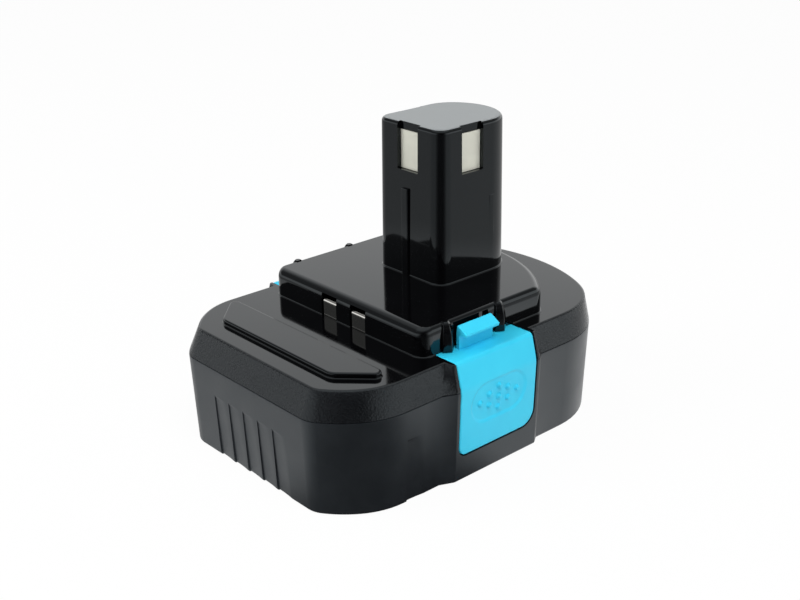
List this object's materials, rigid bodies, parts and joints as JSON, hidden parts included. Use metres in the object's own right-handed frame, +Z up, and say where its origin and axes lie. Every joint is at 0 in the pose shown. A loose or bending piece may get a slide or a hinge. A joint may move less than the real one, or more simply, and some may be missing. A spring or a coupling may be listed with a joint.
{
  "type": "power tool battery pack",
  "caption": "Stem-type rechargeable battery pack for a cordless power tool: black plastic case with a tall contact stem, sprung blue side latches, grip flutes and round cells inside.",
  "frame": {"origin": "middle of the underside of the case", "axes": "+Z up along the stem, -Y towards the fluted front with the charging contacts, latches on the -X and +X sides"},
  "size_m": [0.0948, 0.1278, 0.0989],
  "materials": {
    "case_black": "satin",
    "gloss_black": "gloss",
    "latch_blue": "satin",
    "spring_steel": "satin",
    "contact_nickel": "satin",
    "holder_black": "matte",
    "lead_yellow": "satin",
    "lead_black": "satin",
    "lead_red": "satin",
    "board_green": "satin",
    "chip_black": "matte",
    "sensor_amber": "gloss",
    "screw_steel": "satin",
    "frame_white": "matte",
    "link_nickel": "satin",
    "sheet_green": "matte",
    "cell_sleeve": "satin"
  },
  "bodies": {
    "pack": {"lower_case": "case_black", "upper_case": "gloss_black", "left_latch_spring": "spring_steel", "right_latch_spring": "spring_steel", "contact_holder": "holder_black", "front_contact": "contact_nickel", "left_contact": "contact_nickel", "right_contact": "contact_nickel", "left_charge_contact": "contact_nickel", "right_charge_contact": "contact_nickel", "front_lead": "lead_yellow", "left_lead": "lead_black", "right_lead": "lead_red", "protection_board": "board_green", "power_transistors": "chip_black", "control_chip": "chip_black", "temperature_sensor": "sensor_amber", "case_screws": "screw_steel", "left_cell_frame": "frame_white", "right_cell_frame": "frame_white", "left_links": "link_nickel", "right_links": "link_nickel", "left_insulator": "sheet_green", "right_insulator": "sheet_green", "cell_1": "cell_sleeve", "cell_2": "cell_sleeve", "cell_3": "cell_sleeve", "cell_4": "cell_sleeve", "cell_5": "cell_sleeve", "cell_6": "cell_sleeve", "cell_7": "cell_sleeve", "cell_8": "cell_sleeve"},
    "left_latch": {"left_latch": "latch_blue"},
    "right_latch": {"right_latch": "latch_blue"}
  },
  "joints": [
    {"name": "left_latch_press", "type": "hinge", "parent": "pack", "child": "left_latch", "pos_m": [-0.04348, -0.0031, 0.0113], "axis": [0, 1, 0], "range_deg": [0, 3], "stiffness_Nm_per_rad": 0.5, "springref_deg": -5.73, "deforming": ["left_latch_spring"]},
    {"name": "right_latch_press", "type": "hinge", "parent": "pack", "child": "right_latch", "pos_m": [0.04348, -0.0031, 0.0113], "axis": [0, -1, 0], "range_deg": [0, 3], "stiffness_Nm_per_rad": 0.5, "springref_deg": -5.73, "deforming": ["right_latch_spring"]}
  ]
}
